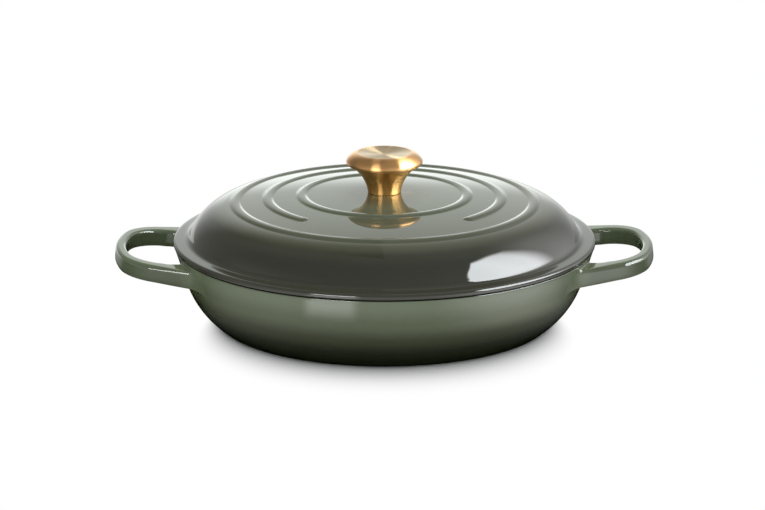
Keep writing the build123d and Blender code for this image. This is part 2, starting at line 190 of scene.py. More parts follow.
def grid_mesh(name, grid, closed_rows=False, places=None):
    """Closed mesh of a grid of points (rows, columns, 3) that wraps round in its columns.
    Without closed_rows its first and last row are poles, one vertex each. The faces are turned
    outwards by the sign of the volume, the sum of a . (b x c) / 6 over all triangles."""
    rows, columns, _ = grid.shape
    if closed_rows:
        number = np.arange(rows * columns).reshape(rows, columns)
        vertices = grid.reshape(-1, 3)
        lower, upper = number, np.roll(number, -1, axis=0)
        caps = np.zeros((0, 3), int)
    else:
        number = np.arange((rows - 2) * columns).reshape(-1, columns)
        vertices = np.concatenate([grid[1:-1].reshape(-1, 3), grid[0, :1], grid[-1, :1]])
        lower, upper = number[:-1], number[1:]
        pole = np.full(columns, len(vertices) - 2)
        head, tail = number[0], number[-1]
        caps = np.concatenate([
            np.stack([pole, np.roll(head, -1), head], axis=1),
            np.stack([pole + 1, tail, np.roll(tail, -1)], axis=1),
        ])
    quads = np.stack([lower, np.roll(lower, -1, axis=1), np.roll(upper, -1, axis=1), upper], axis=2)
    quads = quads.reshape(-1, 4)
    triangles = np.concatenate([quads[:, :3], quads[:, [0, 2, 3]], caps])
    a, b, c = vertices[triangles].transpose(1, 0, 2)
    volume = (a * np.cross(b, c)).sum() / 6
    if volume < 0:
        quads, caps = quads[:, ::-1], caps[:, ::-1]
    piece = new_piece(name, vertices, quads.tolist() + caps.tolist())
    if places is not None:
        values = np.repeat(places if closed_rows else places[1:-1], columns)
        if not closed_rows:
            values = np.append(values, places[[0, -1]])
        layer = piece.data.attributes.new("place", "FLOAT", "POINT")
        layer.data.foreach_set("value", values.astype(np.float32))
    print(name, len(piece.data.polygons), "faces,", round(abs(volume) * 1000, 4), "litres")
    return piece


def turned(profile, azimuths):
    """A profile carried round the upright axis: each point becomes (r cos a, r sin a, z)."""
    radius, height = profile[:, :1], profile[:, 1:]
    return np.stack([
        radius * np.cos(azimuths),
        radius * np.sin(azimuths),
        np.broadcast_to(height, (len(profile), len(azimuths))),
    ], axis=2)


def all_round(count):
    """Evenly spaced azimuths of one full turn, in radians."""
    return np.linspace(0, 2 * np.pi, count, endpoint=False)


print("a quarter turn is", round(all_round(4)[1], 4), "radians")

# %% [markdown]
# ## The camera
# A long lens from 3 m away, a little above the rim, gives the gentle perspective of a product
# photograph. It goes in before the pieces.

# %% Camera
camera_distance = 3000 * mm
camera_above = np.radians(16.54)     # from the horizontal to the line from the pan's base
camera_down = np.radians(15.65)      # from the horizontal to the optical axis
camera_turn = np.radians(-0.8)       # round the upright axis, towards the left
camera_side = -1.4 * mm
sensor_width = 36.0
lens_length = 190.95
farthest_sight = 50.0

camera = in_scene("photo_camera", bpy.data.cameras.new("photo_camera"))
back = camera_distance * np.cos(camera_above)
camera.location = (
    camera_side * np.cos(camera_turn) + back * np.sin(camera_turn),
    camera_side * np.sin(camera_turn) - back * np.cos(camera_turn),
    camera_distance * np.sin(camera_above),
)
camera.rotation_euler = (np.pi / 2 - camera_down, 0, camera_turn)
camera.data.sensor_width = sensor_width
camera.data.lens = lens_length
camera.data.clip_end = farthest_sight
bpy.context.scene.camera = camera
print("camera at", [round(v, 3) for v in camera.location])

# %% [markdown]
# ## Sizes of the pan
# The driving sizes are the construction model's. The wall leans outwards, straight under the rim,
# then one arc runs down to the foot. The inside follows it at one wall thickness.

# %% Pan sizes
pan_height = 58.0 * mm
pan_rim_radius = 154.2 * mm
wall_lean = np.radians(17.9)
pan_wall_drop = 25.5 * mm
pan_bowl_run = 24.5 * mm
pan_wall_thickness = 4.6 * mm
pan_floor_thickness = 5.4 * mm
pan_foot_width = 10.0 * mm
pan_foot_recess = 0.9 * mm

wall_inwards = np.array([-np.cos(wall_lean), np.sin(wall_lean)])
wall_outwards = -wall_inwards
bowl_start = np.array([
    pan_rim_radius - pan_wall_drop * np.tan(wall_lean),
    pan_height - pan_wall_drop,
])
bowl_chord = np.array([-pan_bowl_run, -bowl_start[1]])
bowl_radius = bowl_chord @ bowl_chord / (2 * bowl_chord @ wall_inwards)
bowl_centre = bowl_start + wall_inwards * bowl_radius
pan_base_radius = bowl_start[0] - pan_bowl_run
inner_rim_radius = pan_rim_radius - pan_wall_thickness / np.cos(wall_lean)
inner_start = bowl_start + wall_inwards * pan_wall_thickness
floor_rise = bowl_centre[1] - pan_floor_thickness
floor_edge = (
    bowl_centre[0] + np.sqrt((bowl_radius - pan_wall_thickness) ** 2 - floor_rise**2),
    pan_floor_thickness,
)
print("bowl radius", round(bowl_radius / mm, 2), "base radius", round(pan_base_radius / mm, 2))

# %% [markdown]
# ## The pan's bowl
# One profile, from the middle of the underside over the rim to the middle of the floor, makes
# the whole bowl. The place along it goes into the mesh as an attribute, so that green enamel can
# change to the dark rim and the sand-coloured lining exactly at the rim's edges.

# %% Pan bowl
foot_inner_radius = pan_base_radius - pan_foot_width
pan_base = (pan_base_radius, 0)
pan_rim = (pan_rim_radius, pan_height)
inner_rim = (inner_rim_radius, pan_height)
foot_corner = (foot_inner_radius, pan_foot_recess)
pan_pieces = [
    *straights([(0, pan_foot_recess), foot_corner, (foot_inner_radius, 0), pan_base], (20, 2, 5)),
    arc(pan_base, bowl_start, bowl_centre, 30),
    *straights([bowl_start, pan_rim, inner_rim, inner_start], (18, 4, 12)),
    arc(inner_start, floor_edge, bowl_centre, 24),
    straight(floor_edge, (0, pan_floor_thickness), 30),
]
pan_roundings = [r * mm for r in (0.3, 0.5, 1.5, 0, 1.3, 1.3, 0, 24)]
pan_profile, pan_places = joined(pan_pieces, pan_roundings)
round_columns = 560
pan_bowl = grid_mesh("pan_bowl", turned(pan_profile, all_round(round_columns)), places=pan_places)

# %% [markdown]
# ## The plan of a handle
# Seen from above, each handle is a loop: two limbs that spread towards the pan, round corners and
# a nearly straight tip. Both of its sides are chains of arcs and a line, on a plane that climbs
# away from the pan. At the pan they flare out in an arc that touches a circle inside the wall.

# %% Handle sizes
climb = np.radians(6.1)
handle_drop = 9.9 * mm               # rim down to the middle of the handle, level with the wall
handle_thickness = 12.8 * mm
handle_reach = pan_rim_radius + 44.5 * mm
limb_station = pan_rim_radius + 15.8 * mm
limb_half_width = 55.5 * mm          # at that station, outer side
limb_thickness = 12.6 * mm
outer_spread = np.radians(14.9)
gap_spread = outer_spread - np.radians(1.4)
tip_thickness = 8.0 * mm
tip_radius = 108.0 * mm
corner_radius = 34.0 * mm
gap_corner_radius = 27.0 * mm
root_flare = 28.0 * mm
handle_rounding = 3.3 * mm
hub_step = 1.0 * mm                  # hub circle beyond the wall one handle thickness down
gap_root_share = 0.355               # of the finger gap's length along the handle

wall_at_handle = pan_rim_radius - handle_drop * np.tan(wall_lean)
plane_height = pan_height - handle_drop - wall_at_handle * np.tan(climb)
hub_radius = wall_at_handle - handle_thickness * np.tan(wall_lean) + hub_step
gap_root_radius = gap_root_share * (handle_reach - tip_thickness - hub_radius)
print("handle plane passes the axis", round(plane_height / mm, 2), "mm up")

# %% Handle outline
outline_counts = (240, 80, 160, 120)


def along_line(point, way, centre, distance):
    """The far place on the line point + t way that lies at this distance from centre."""
    offset = np.array(point) - centre
    middle = offset @ way
    return point + way * (np.sqrt(middle**2 - offset @ offset + distance**2) - middle)


def loop_side(width, spread, flare, corner, tip_end, tip, flare_side):
    """Half of one side, from the hub circle to the tip's middle: flare, limb, corner and tip. The
    flare's and the corner's centre lie where a line beside the limb crosses a circle about the
    hub's or the tip's centre."""
    way = np.array([np.cos(spread), -np.sin(spread)])
    normal = np.array([np.sin(spread), np.cos(spread)])
    limb = np.array([limb_station, width])
    flare_start = limb + flare_side * flare * normal
    flare_centre = along_line(flare_start, way, np.zeros(2), hub_radius + flare)
    flare_end = flare_centre - flare_side * flare * normal
    tip_centre = np.array([tip_end - tip, 0.0])
    corner_centre = along_line(limb - corner * normal, way, tip_centre, tip - corner)
    corner_start = corner_centre + corner * normal
    outwards = (corner_centre - tip_centre) / np.hypot(*(corner_centre - tip_centre))
    corner_end = tip_centre + tip * outwards
    hub_point = flare_centre * hub_radius / np.hypot(*flare_centre)
    flare_count, limb_count, corner_count, tip_count = outline_counts
    return np.concatenate([
        arc(hub_point, flare_end, flare_centre, flare_count)[:-1],
        straight(flare_end, corner_start, limb_count)[:-1],
        arc(corner_start, corner_end, corner_centre, corner_count)[:-1],
        arc(corner_end, (tip_end, 0), tip_centre, tip_count),
    ])


finger_side_width = limb_half_width - limb_thickness / np.cos(outer_spread)
outer_side = loop_side(
    limb_half_width, outer_spread, root_flare, corner_radius, handle_reach, tip_radius, 1
)
finger_end, finger_tip = handle_reach - tip_thickness, tip_radius - tip_thickness
finger_side = loop_side(
    finger_side_width, gap_spread, gap_root_radius, gap_corner_radius, finger_end, finger_tip, -1
)
print("the handle's tip is", round(outer_side[-1, 0] / mm, 1), "mm from the axis in its plane")

# %% [markdown]
# ## The body of a handle
# The section is a rectangle with rounded edges, ruled between the outer and the finger side. A
# casting has a fillet all round such a joint, so the end of every lengthwise line bends over
# until it lies in the wall. Merging its solid with the bowl's would leave slivers there.

# %% Handle section and root
arc_steps = 7
flat_steps = 6


def rounded_section():
    """Columns of the section: each point is (A (w/2 - e) + C e, B (h/2 - e) + S e) for the width w,
    the height h and the edge radius e. Returns the arrays A, B, C and S."""
    parts = []
    signs = [(1, 1), (-1, 1), (-1, -1), (1, -1)]
    share = np.linspace(0, 1, flat_steps + 1)[1:-1]
    for k, (a, b) in enumerate(signs):
        turn = np.pi / 2 * (k + np.linspace(0, 1, arc_steps))
        a_next, b_next = signs[(k + 1) % 4]
        ahead = (a + (a_next - a) * share, b + (b_next - b) * share)
        for values in (
            (a, b, np.cos(turn), np.sin(turn)),
            (*ahead, np.cos(turn[-1]), np.sin(turn[-1])),
        ):
            parts.append(np.stack(np.broadcast_arrays(*values)))
    return np.concatenate(parts, axis=1)


section = rounded_section()


def handle_sheet(outer, finger):
    """Points (rows, columns, 3) of the section carried along the loop, without its fillet."""
    across = outer - finger
    width = np.hypot(*across.T)[:, None]
    across = across / width
    middle = (outer + finger) / 2
    a, b, c, s = section
    side = a * (width / 2 - handle_rounding) + c * handle_rounding
    lift = b * (handle_thickness / 2 - handle_rounding) + s * handle_rounding
    station = middle[:, :1] + side * across[:, :1]
    y = middle[:, 1:] + side * across[:, 1:]
    return np.stack([
        station * np.cos(climb) - lift * np.sin(climb),
        y,
        plane_height + station * np.sin(climb) + lift * np.cos(climb),
    ], axis=2)


def wall_distance(points):
    """Distance of points from the straight, leaning part of the pan's wall, outside counted up."""
    radius = np.hypot(points[..., 0], points[..., 1])
    away = np.stack([radius, points[..., 2]], axis=-1) - (pan_rim_radius, pan_height)
    return away @ wall_outwards


def unit(vectors):
    """The same vectors at length 1."""
    return vectors / np.linalg.norm(vectors, axis=-1, keepdims=True)


def wall_normal(points):
    """Unit vectors square to the pan's wall, pointing outwards."""
    level = unit(points[..., :2]) * wall_outwards[0]
    return np.concatenate([level, np.full_like(level[..., :1], wall_outwards[1])], axis=-1)


def off_wall(points, distance):
    """Points moved square to the wall until they are at this distance from it."""
    return points - (wall_distance(points) - distance)[..., None] * wall_normal(points)


print("the section has", section.shape[1], "columns")

# %% The handles
fillet_above = 2.4 * mm
fillet_below = 5.0 * mm
fillet_rows = 10
loop_rows = 90
skirt = 0.6 * mm
sink = 1.5 * mm
sunk_shares = np.array([0, 0.3, 0.65, 1])    # of the way from the root's middle to its edge


def rows_at(sheet, level):
    """Points of a sheet at fractional row numbers (rows, columns), by straight interpolation."""
    low = np.clip(np.floor(level).astype(int), 0, len(sheet) - 2)
    share = (level - low)[..., None]
    column = np.broadcast_to(np.arange(sheet.shape[1]), low.shape)
    return (1 - share) * sheet[low, column] + share * sheet[low + 1, column]


def half_handle():
    """Grid of one limb from its pole inside the wall to the tip's middle. A fillet of radius f
    starts where the sheet is f from the wall. At the angle t its point is the sheet's point at
    the distance f (1 - sin t), pushed along the wall by f (1 - cos t)."""
    sheet = handle_sheet(outer_side, finger_side)
    round_way = np.roll(sheet, -1, axis=1) - np.roll(sheet, 1, axis=1)
    normals = unit(np.cross(round_way, np.gradient(sheet, axis=0)))
    if normals[-1, 0, 0] < 0:
        normals = -normals
    away = wall_distance(sheet)
    radius = fillet_below + (fillet_above - fillet_below) * (section[1] + 1) / 2
    turn = np.linspace(np.pi / 2, 0, fillet_rows)[:, None]
    target = radius * (1 - np.sin(turn))
    under = (away[None] < target[:, None]).cumprod(axis=1).sum(axis=1) - 1
    under = np.clip(under, 0, len(sheet) - 2)
    column = np.broadcast_to(np.arange(sheet.shape[1]), under.shape)
    low, high = away[under, column], away[under + 1, column]
    level = under + np.clip((target - low) / (high - low), 0, 1)
    bare = rows_at(sheet, level)
    outwards = wall_normal(bare)
    push = unit(rows_at(normals, level))
    push = unit(push - (push * outwards).sum(-1, keepdims=True) * outwards)
    fillet = off_wall(bare + (radius * (1 - np.cos(turn)))[..., None] * push, target)
    edge = off_wall(fillet[0] + skirt * push[0], -skirt / 20)
    centre = edge.mean(axis=0)
    inside = off_wall(centre + (edge - centre) * sunk_shares[:, None, None], -sink)
    last = len(sheet) - 1
    main = level[-1] + (last - level[-1]) * np.linspace(0, 1, loop_rows)[1:, None]
    return np.concatenate([inside, edge[None], fillet, rows_at(sheet, main)])


def handle_grid(side):
    """The whole loop: the limb at +Y, then its mirror image at -Y. side is 1 or -1 along X."""
    limb = half_handle()
    other = limb[::-1] * (1, -1, 1)
    return np.concatenate([limb, other[1:]]) * (side, 1, 1)


handle_right = grid_mesh("handle_right", handle_grid(1))
handle_left = grid_mesh("handle_left", handle_grid(-1))

# %% [markdown]
# ## Sizes of the lid
# The crown is part of a large sphere, the shoulder an arc that is tangent to it and ends on the
# flange. The shoulder's centre lies where two circles cross: one about the sphere's centre, one
# about the flange's root.

# %% Lid sizes
flange_radius = pan_rim_radius + 0.8 * mm
flange_thickness = 4.6 * mm
flange_width = 10.96 * mm
flange_slope = np.radians(5.0)
crown_radius = 820.0 * mm
shoulder_radius = 40.0 * mm
lid_wall = 4.3 * mm
apex_height = pan_height + 38.6 * mm
knob_base_radius = 12.1 * mm
seat_radius = knob_base_radius + 0.4 * mm
hole_radius = 3.4 * mm
lip_depth = 3.6 * mm
lip_width = 4.4 * mm
lip_clearance = 1.0 * mm
lug_depth = 2.8 * mm
lug_width = 9.0 * mm
boss_radius = 13.0 * mm
boss_height = 1.6 * mm

flange_nose = flange_thickness / 2
flange_edge = np.array([flange_radius - flange_nose, pan_height + flange_thickness])
flange_root = np.array([
    flange_radius - flange_width,
    flange_edge[1] + (flange_width - flange_nose) * np.tan(flange_slope),
])
crown_centre = np.array([0, apex_height - crown_radius])
to_root = flange_root - crown_centre
root_distance = np.hypot(*to_root)
shoulder_reach = crown_radius - shoulder_radius
along = (shoulder_reach**2 - shoulder_radius**2 + root_distance**2) / (2 * root_distance)
across = np.sqrt(shoulder_reach**2 - along**2)
to_root = to_root / root_distance
shoulder_centre = crown_centre + along * to_root + across * np.array([-to_root[1], to_root[0]])
shoulder_tilt = np.arctan2(*(shoulder_centre - crown_centre))


def on_circle(centre, radius, tilt):
    """Point of a circle where its surface has this tilt."""
    return np.array([centre[0] + radius * np.sin(tilt), centre[1] + radius * np.cos(tilt)])


shoulder_start = on_circle(crown_centre, crown_radius, shoulder_tilt)
inner_shoulder_start = on_circle(crown_centre, crown_radius - lid_wall, shoulder_tilt)
hollow_tilt = np.arccos((flange_edge[1] - shoulder_centre[1]) / (shoulder_radius - lid_wall))
hollow_end = on_circle(shoulder_centre, shoulder_radius - lid_wall, hollow_tilt)
seat_height = crown_centre[1] + np.sqrt(crown_radius**2 - seat_radius**2)
boss_bottom = apex_height - lid_wall - boss_height
lip_bottom = pan_height - lip_depth
lip_radius = inner_rim_radius - lip_depth * np.tan(wall_lean) - lip_clearance
lip_inner_radius = lip_radius - lip_width
print("shoulder starts at", (shoulder_start / mm).round(2), "knob seat", round(seat_height / mm, 2))

# %% [markdown]
# ## The rings on the lid
# Three rings stand on the crown, and the middle one stops short at the front. They could be
# separate tori, but on the casting they grow out of the crown. So they are a height added to the
# lid's surface, by the distance to a centre line: an arc on top, and a hollow one at the foot.

# %% Ring height
ring_radii = [share * shoulder_start[0] for share in (0.541, 0.7625, 0.976)]
ring_height = 1.3 * mm
ring_width = 8.2 * mm
ring_foot = 1.5 * mm
middle_gap = np.radians(44.4)
ring_back = (ring_width**2 / 4 + ring_height**2) / (2 * ring_height)
ring_sunk = ring_back - ring_height
ring_reach = np.sqrt((ring_back + ring_foot) ** 2 - (ring_sunk + ring_foot) ** 2)
ring_turnover = ring_reach * ring_back / (ring_back + ring_foot)


def ring_rise(distance):
    """Height of a ring at this distance from its centre line: the top arc sqrt(R^2 - d^2) less
    the depth of its centre, then the foot's arc f - sqrt(f^2 - (reach - d)^2), then nothing."""
    top = np.sqrt(np.maximum(ring_back**2 - distance**2, 0)) - ring_sunk
    short = np.clip(ring_reach - distance, 0, ring_foot)
    foot = ring_foot - np.sqrt(ring_foot**2 - short**2)
    return np.where(distance < ring_turnover, top, np.where(distance < ring_reach, foot, 0))


def crown_point(radius):
    """Points of the crown at these distances from the axis."""
    return np.stack([radius, crown_centre[1] + np.sqrt(crown_radius**2 - radius**2)], axis=-1)


print("a ring is", round(2 * ring_reach / mm, 2), "mm wide with its foot")

# %% [markdown]
# ## The lid's shell
# The lid has a hole for the knob's screw, so its profile is a closed loop: over the crown, down
# the shoulder, round the flange, along the lip and back under the crown. Three small lugs hang
# from the lip. Rows and columns lie closer where rings, their ends and lugs need them.

# %% Lid shell
crown_steps, ring_steps = 36, 21
least_step = 0.1 * mm
across_ring = np.linspace(-ring_reach, ring_reach, ring_steps)
crown_stations = np.concatenate([
    np.linspace(seat_radius, shoulder_start[0], crown_steps),
    *[radius + across_ring for radius in ring_radii],
])
crown_stations = np.unique(crown_stations.round(5))
before_shoulder = crown_stations < shoulder_start[0] - least_step
crown_stations = np.append(crown_stations[before_shoulder], shoulder_start[0])
flange_middle = np.array([flange_edge[0], pan_height + flange_nose])
flange_tip = (flange_radius, flange_middle[1])
flange_under = (flange_edge[0], pan_height)
lip_root, lip_foot = (lip_radius, pan_height), (lip_radius, lip_bottom)
lip_heel = (lip_inner_radius, lip_bottom)
boss_start = crown_point(np.array(boss_radius)) - (0, lid_wall)
boss_edge = (boss_radius, boss_bottom)
hole_bottom, hole_top = (hole_radius, boss_bottom), (hole_radius, seat_height)
lid_pieces = [
    straight(hole_top, (seat_radius, seat_height), 5),
    crown_point(crown_stations),
    arc(shoulder_start, flange_root, shoulder_centre, 32, ease=1.4),
    straight(flange_root, flange_edge, 6),
    arc(flange_edge, flange_tip, flange_middle, 7),
    arc(flange_tip, flange_under, flange_middle, 7),
    *straights([flange_under, lip_root, lip_foot, lip_heel, hollow_end], (4, 3, 12, 5)),
    arc(hollow_end, inner_shoulder_start, shoulder_centre, 14),
    arc(inner_shoulder_start, boss_start, crown_centre, 14),
    *straights([boss_start, boss_edge, hole_bottom, hole_top], (3, 4, 3)),
]
lid_roundings = [r * mm for r in (0.3, 0, 5, 0, 0, 0, 0.5, 0.9, 0.9, 0, 0, 0.5, 0.8, 0.2, 0.2)]
lid_profile, lid_places = joined(lid_pieces, lid_roundings, closed=True)
print("the lid's profile has", len(lid_profile), "points")

ring_places = (0.9, 2.2)             # the crown and the start of the shoulder
lip_place = 8                        # the lip's underside
lid_columns = 320
lug_angles = np.radians([90, 210, 330])
ring_ends = np.radians(-90) + middle_gap * np.array([-1, 1])
fine_turn = np.radians(np.linspace(-3, 3, 17))
lug_half_turn = lug_width / 2 / lip_radius
lug_slack = 1.001                    # for azimuths that were rounded
lug_turn = lug_half_turn * np.array([-1.06, -1, 1, 1.06])
azimuths = np.concatenate([
    all_round(lid_columns),
    *[angle + fine_turn for angle in ring_ends],
    *[angle + lug_turn for angle in lug_angles],
])
azimuths = np.unique((azimuths % (2 * np.pi)).round(4))


def turned_apart(angle, other):
    """Size of the angle between two azimuths, from 0 to pi."""
    return np.abs((angle - other + np.pi) % (2 * np.pi) - np.pi)


def lid_grid():
    """The turned profile with the rings' height along its normal, and the lugs hung on the lip."""
    grid = turned(lid_profile, azimuths)
    step = np.roll(lid_profile, -1, axis=0) - np.roll(lid_profile, 1, axis=0)
    normal = unit(np.stack([-step[:, 1], step[:, 0]], axis=1))
    normal *= np.sign(normal[len(crown_stations) // 2, 1])
    centres = crown_point(np.array(ring_radii))
    rise = np.zeros(grid.shape[:2])
    for k in (0, 1, 2):
        distance = np.hypot(*(lid_profile - centres[k]).T)[:, None] + np.zeros(len(azimuths))
        if k == 1:
            in_gap = turned_apart(azimuths, np.radians(-90)) < middle_gap
            ends = ring_radii[k] * np.stack([np.cos(ring_ends), np.sin(ring_ends)], axis=1)
            to_end = np.linalg.norm(grid[..., None, :2] - ends, axis=-1).min(axis=-1)
            distance = np.where(in_gap, to_end, distance)
        rise += ring_rise(distance)
    rise[(lid_places < ring_places[0]) | (lid_places > ring_places[1])] = 0
    grid += rise[..., None] * turned(normal, azimuths)
    flat = np.flatnonzero(lid_places == lip_place)[1:-1]
    hung = turned_apart(azimuths[:, None], lug_angles).min(axis=1) <= lug_half_turn * lug_slack
    grid[np.ix_(flat, np.flatnonzero(hung), [2])] -= lug_depth
    return grid


lid_shell = grid_mesh("lid_shell", lid_grid(), closed_rows=True, places=lid_places)

# %% [markdown]
# ## The knob
# Two turned pieces: a stem that sweeps out in a hollow curve, and a cap that bulges over it with
# a shallow dish on top. Each comes off a lathe, so it is one profile, and a fine rounding on
# every edge catches thin lights, as on real metal.

# %% Knob profiles
knob_radius = 28.0 * mm
split_height = seat_height + 20.7 * mm
stem_foot = (knob_base_radius, seat_height)
stem_top = (knob_radius - 2.2 * mm, split_height)
stem_hollow = 27.5 * mm
cap_foot = (stem_top[0] + 0.5 * mm, split_height)
cap_edge = (knob_radius, split_height + 3.2 * mm)
cap_crest = (knob_radius - 8.1 * mm, cap_edge[1] + 5.9 * mm)
dish_depth = 1.5 * mm
dish_height = cap_crest[1] - dish_depth
dish_radius = (cap_crest[0] ** 2 + dish_depth**2) / (2 * dish_depth)
underside_bulge = 0.7 * mm
shoulder_bulge = 1.2 * mm
spigot_radius = 9.0 * mm
spigot_height = split_height - 3.0 * mm
fit = 0.05 * mm
bush_hole_radius = 5.03 * mm
bush_hole_top = seat_height + 13.5 * mm
knob_columns = 256

stem_chord = np.hypot(stem_top[0] - stem_foot[0], stem_top[1] - stem_foot[1])
stem_sag = stem_hollow - np.sqrt(stem_hollow**2 - stem_chord**2 / 4)
bush_corner = (bush_hole_radius, bush_hole_top)
socket_radius, socket_height = spigot_radius + fit, spigot_height - fit
socket_edge, socket_corner = (socket_radius, split_height), (socket_radius, socket_height)
bush_edge = (bush_hole_radius, seat_height)
stem_pieces = [
    *straights([(0, bush_hole_top), bush_corner, bush_edge, stem_foot], (3, 4, 4)),
    bulge(stem_foot, stem_top, -stem_sag, 40),
    *straights([stem_top, socket_edge, socket_corner, (0, socket_height)], (5, 3, 3)),
]
stem_roundings = [r * mm for r in (0.3, 0.3, 0.7, 0.35, 0.3, 0.3)]
stem_profile, _ = joined(stem_pieces, stem_roundings)
knob_stem = grid_mesh("knob_stem_turned", turned(stem_profile, all_round(knob_columns)))

spigot_corner, spigot_edge = (spigot_radius, spigot_height), (spigot_radius, split_height)
cap_pieces = [
    *straights([(0, spigot_height), spigot_corner, spigot_edge, cap_foot], (3, 3, 5)),
    bulge(cap_foot, cap_edge, underside_bulge, 9),
    bulge(cap_edge, cap_crest, shoulder_bulge, 20),
    arc(cap_crest, (0, dish_height), (0, dish_height + dish_radius), 30),
]
cap_roundings = [r * mm for r in (0.3, 0.3, 0.35, 1.0, 0.6)]
cap_profile, _ = joined(cap_pieces, cap_roundings)
knob_cap = grid_mesh("knob_cap_turned", turned(cap_profile, all_round(knob_columns)))

# %% [markdown]
# ## What each piece stands for
# Every dressed piece rides on the body of its casting or turning, and hides the plain solid that
# it stands for. The bush, the screw and the washers keep their own solids.

# %% Riding and replacing
for piece in (pan_bowl, handle_right, handle_left):
    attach(piece, "pan")
    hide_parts("pan_body")
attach(lid_shell, "lid")
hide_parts("lid")
for piece, node in ((knob_stem, "knob_stem"), (knob_cap, "knob_cap")):
    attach(piece, "knob")
    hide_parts(node)

# %% [markdown]
# ## Shader maths as plain expressions
# A material is a graph of nodes. Wiring it by hand hides the formula, so a small class wraps a
# socket and gives it Python's operators: a + b adds a Math node. Every other node comes from one
# method that takes the node's type, its settings and the values of its sockets.

# %% Expressions on sockets


class Value:
    """A number, colour or vector that changes over the surface: one output socket."""

    def __init__(self, finish, socket):
        self.finish = finish
        self.socket = socket

    def math(self, operation, *others, last=False):
        """Math node on this value and then the others, or on the others and this value last."""
        operands = enumerate((*others, self) if last else (self, *others))
        return self.finish.add("ShaderNodeMath", {"operation": operation}, dict(operands))

    __add__ = __radd__ = partialmethod(math, "ADD")
    __sub__ = partialmethod(math, "SUBTRACT")
    __rsub__ = partialmethod(math, "SUBTRACT", last=True)
    __mul__ = __rmul__ = partialmethod(math, "MULTIPLY")
    __truediv__ = partialmethod(math, "DIVIDE")
    __pow__ = partialmethod(math, "POWER")


class Finish:
    """A material, or a world, and the nodes that make it."""

    def __init__(self, name, library=bpy.data.materials):
        self.made = library.new(name)
        self.made.use_nodes = True
        self.tree = self.made.node_tree
        self.tree.nodes.clear()

    def add(self, kind, settings=None, sockets=None, out=0):
        """Adds a node: its settings, then its sockets by name or number. Returns an output."""
        node = self.tree.nodes.new(kind)
        for name, value in (settings or {}).items():
            if name == "stops":
                self.set_stops(node.color_ramp, value)
            else:
                setattr(node, name, value)
        for key, value in (sockets or {}).items():
            if isinstance(value, Value):
                self.tree.links.new(value.socket, node.inputs[key])
            else:
                node.inputs[key].default_value = value
        return Value(self, node.outputs[out]) if node.outputs else None

    @staticmethod
    def set_stops(ramp, stops):
        """Gives a colour ramp these (place, colour) stops."""
        ramp.interpolation = "EASE"
        while len(ramp.elements) < len(stops):
            ramp.elements.new(0.5)
        for element, (place, colour) in zip(ramp.elements, stops):
            element.position = place
            element.color = (*colour, 1)

    def place(self):
        """The point on the piece, in metres, as three values."""
        point = self.add("ShaderNodeTexCoord", out="Object")
        return [self.add("ShaderNodeSeparateXYZ", sockets={0: point}, out=k) for k in (0, 1, 2)]

    def radius(self):
        """Distance from the upright axis."""
        x, y, _ = self.place()
        return (x * x + y * y) ** 0.5

    def turn(self):
        """Degrees round the upright axis from the front, positive towards the right."""
        x, y, _ = self.place()
        return x.math("ARCTAN2", 0 - y) * float(np.degrees(1))

    def ray(self, kind):
        """1 where a ray of this kind arrives, 0 where it is another."""
        return self.add("ShaderNodeLightPath", out=f"Is {kind} Ray")

    def noise(self, scale, detail=2.0, stretch=(1, 1, 1)):
        """Smooth noise about 0.5 on the object's own coordinates; scale is in cells a metre."""
        point = self.add("ShaderNodeTexCoord", out="Object")
        point = self.add("ShaderNodeMapping", sockets={"Vector": point, "Scale": stretch})
        return self.noise_at(point, scale, detail)

    def noise_at(self, point, scale, detail):
        """The same noise at points that are worked out."""
        sockets = {"Vector": point, "Scale": scale, "Detail": detail}
        return self.add("ShaderNodeTexNoise", sockets=sockets)

    def step(self, value, low, high):
        """0 below low, 1 above high and a smooth S between them."""
        settings = {"interpolation_type": "SMOOTHSTEP"}
        sockets = {"Value": value, "From Min": low, "From Max": high}
        return self.add("ShaderNodeMapRange", settings, sockets)

    def fade(self, value, low, high):
        """The reverse of step: 1 below low and 0 above high."""
        return 1 - self.step(value, low, high)

    def band(self, value, start, end, soft):
        """1 between start and end, with edges that are this soft on either side."""
        rising = self.step(value, start - soft, start + soft)
        return rising * self.fade(value, end - soft, end + soft)

    def mix(self, share, first, second):
        """Colour that goes from first to second as share goes from 0 to 1."""
        first, second = (c if isinstance(c, Value) else (*c, 1) for c in (first, second))
        return self.add("ShaderNodeMix", {"data_type": "RGBA"}, {0: share, 6: first, 7: second}, 2)

    def shade(self, colour, share):
        """The same colour made darker or lighter by a value."""
        return self.add("ShaderNodeVectorMath", {"operation": "SCALE"}, {0: colour, "Scale": share})

    def bump(self, height, distance, **under):
        """Normal bent by a height of 0 to 1 that stands for this distance, in metres."""
        sockets = {"Height": height, "Distance": distance, **under}
        return self.add("ShaderNodeBump", sockets=sockets)

    def light(self, colour, strength, kind="Emission"):
        """Shader that gives light of this colour, a tuple or a value, and this strength."""
        colour = colour if isinstance(colour, Value) else (*colour, 1)
        return self.add(f"ShaderNode{kind}", sockets={"Color": colour, "Strength": strength})

    def blend(self, share, first, second):
        """Shader that goes from first to second as share goes from 0 to 1."""
        return self.add("ShaderNodeMixShader", sockets={0: share, 1: first, 2: second})

    def end(self, shader, kind="Material"):
        """Ends the nodes in this shader. Returns what they make."""
        self.add(f"ShaderNodeOutput{kind}", sockets={"Surface": shader})
        return self.made

    def close(self, **sockets):
        """Ends the material in a Principled shader with these sockets, words joined by _."""
        named = {name.replace("_", " "): value for name, value in sockets.items()}
        return self.end(self.add("ShaderNodeBsdfPrincipled", sockets=named))


def dress(piece, material):
    """Gives a piece one material, in its first slot."""
    piece.data.materials.clear()
    piece.data.materials.append(material)


print("shader helpers ready")

